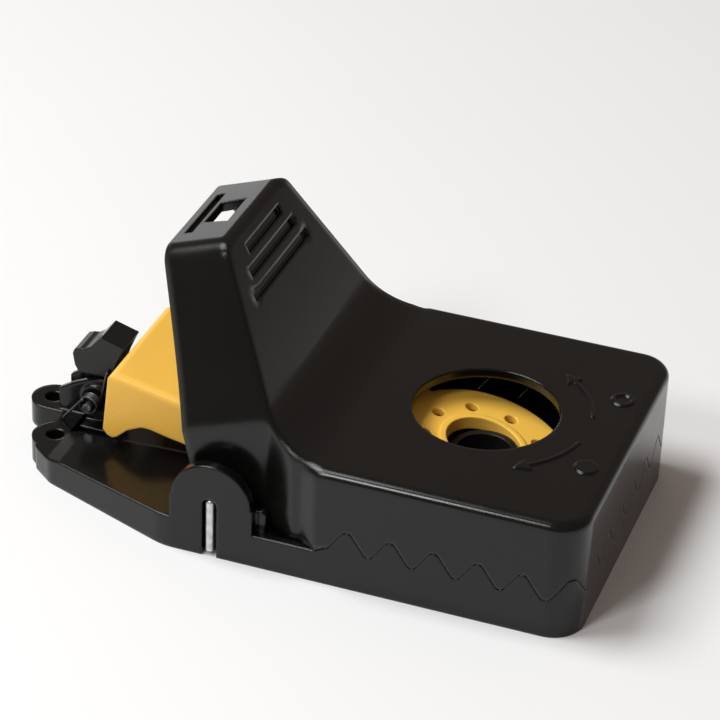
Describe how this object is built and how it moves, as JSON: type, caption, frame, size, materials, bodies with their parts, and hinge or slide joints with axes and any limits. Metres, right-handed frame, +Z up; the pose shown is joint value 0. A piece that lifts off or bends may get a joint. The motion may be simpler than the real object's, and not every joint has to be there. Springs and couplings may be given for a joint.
{
  "type": "snap mouse trap",
  "caption": "Plastic snap mouse trap: wave-edged spring jaw with a thumb hump over a flat tray, a trip pedal, a bait cup and a catch",
  "frame": {"origin": "on the table, under the middle of the footprint (bounding box bottom centre)", "axes": "+X towards the mouth, -X to the tail and catch, +Y to the left seen from the tail, +Z up; the axle runs along Y"},
  "size_m": [0.1432, 0.075, 0.0665],
  "materials": {
    "tray_plastic": "glossy moulded, black",
    "jaw_plastic": "glossy moulded, black",
    "pedal_plastic": "moulded, warm yellow",
    "cup_plastic": "moulded, black",
    "wire": "zinc-coated wire",
    "spring": "drawn spring wire",
    "pin": "bright pin"
  },
  "bodies": {
    "base": {"base_tray": "tray_plastic", "axle_wire": "wire", "main_spring_left": "spring", "main_spring_right": "spring", "catch_pin": "pin", "catch_spring": "spring"},
    "jaw": {"upper_jaw": "jaw_plastic"},
    "pedal": {"trip_pedal": "pedal_plastic"},
    "cup": {"bait_cup": "cup_plastic"},
    "catch": {"catch": "jaw_plastic"}
  },
  "joints": [
    {"name": "jaw_hinge", "type": "hinge", "parent": "base", "child": "jaw", "pos_m": [-0.0121, 0, 0.0134], "axis": [0, 1, 0], "range_deg": [-66, 0], "stiffness_Nm_per_rad": 0.35, "springref_deg": 68.75, "deforming": ["main_spring_left", "main_spring_right"]},
    {"name": "pedal_hinge", "type": "hinge", "parent": "base", "child": "pedal", "pos_m": [-0.0121, 0, 0.0134], "axis": [0, 1, 0], "range_deg": [-3.5, 0]},
    {"name": "catch_hinge", "type": "hinge", "parent": "base", "child": "catch", "pos_m": [-0.0541, 0, 0.011], "axis": [0, 1, 0], "range_deg": [-8, 0], "stiffness_Nm_per_rad": 0.004, "springref_deg": 34.38, "deforming": ["catch_spring"]},
    {"name": "cup_twist", "type": "hinge", "parent": "base", "child": "cup", "pos_m": [0.0382, 0, 0.002], "axis": [0, 0, 1], "range_deg": [0, 40]}
  ]
}
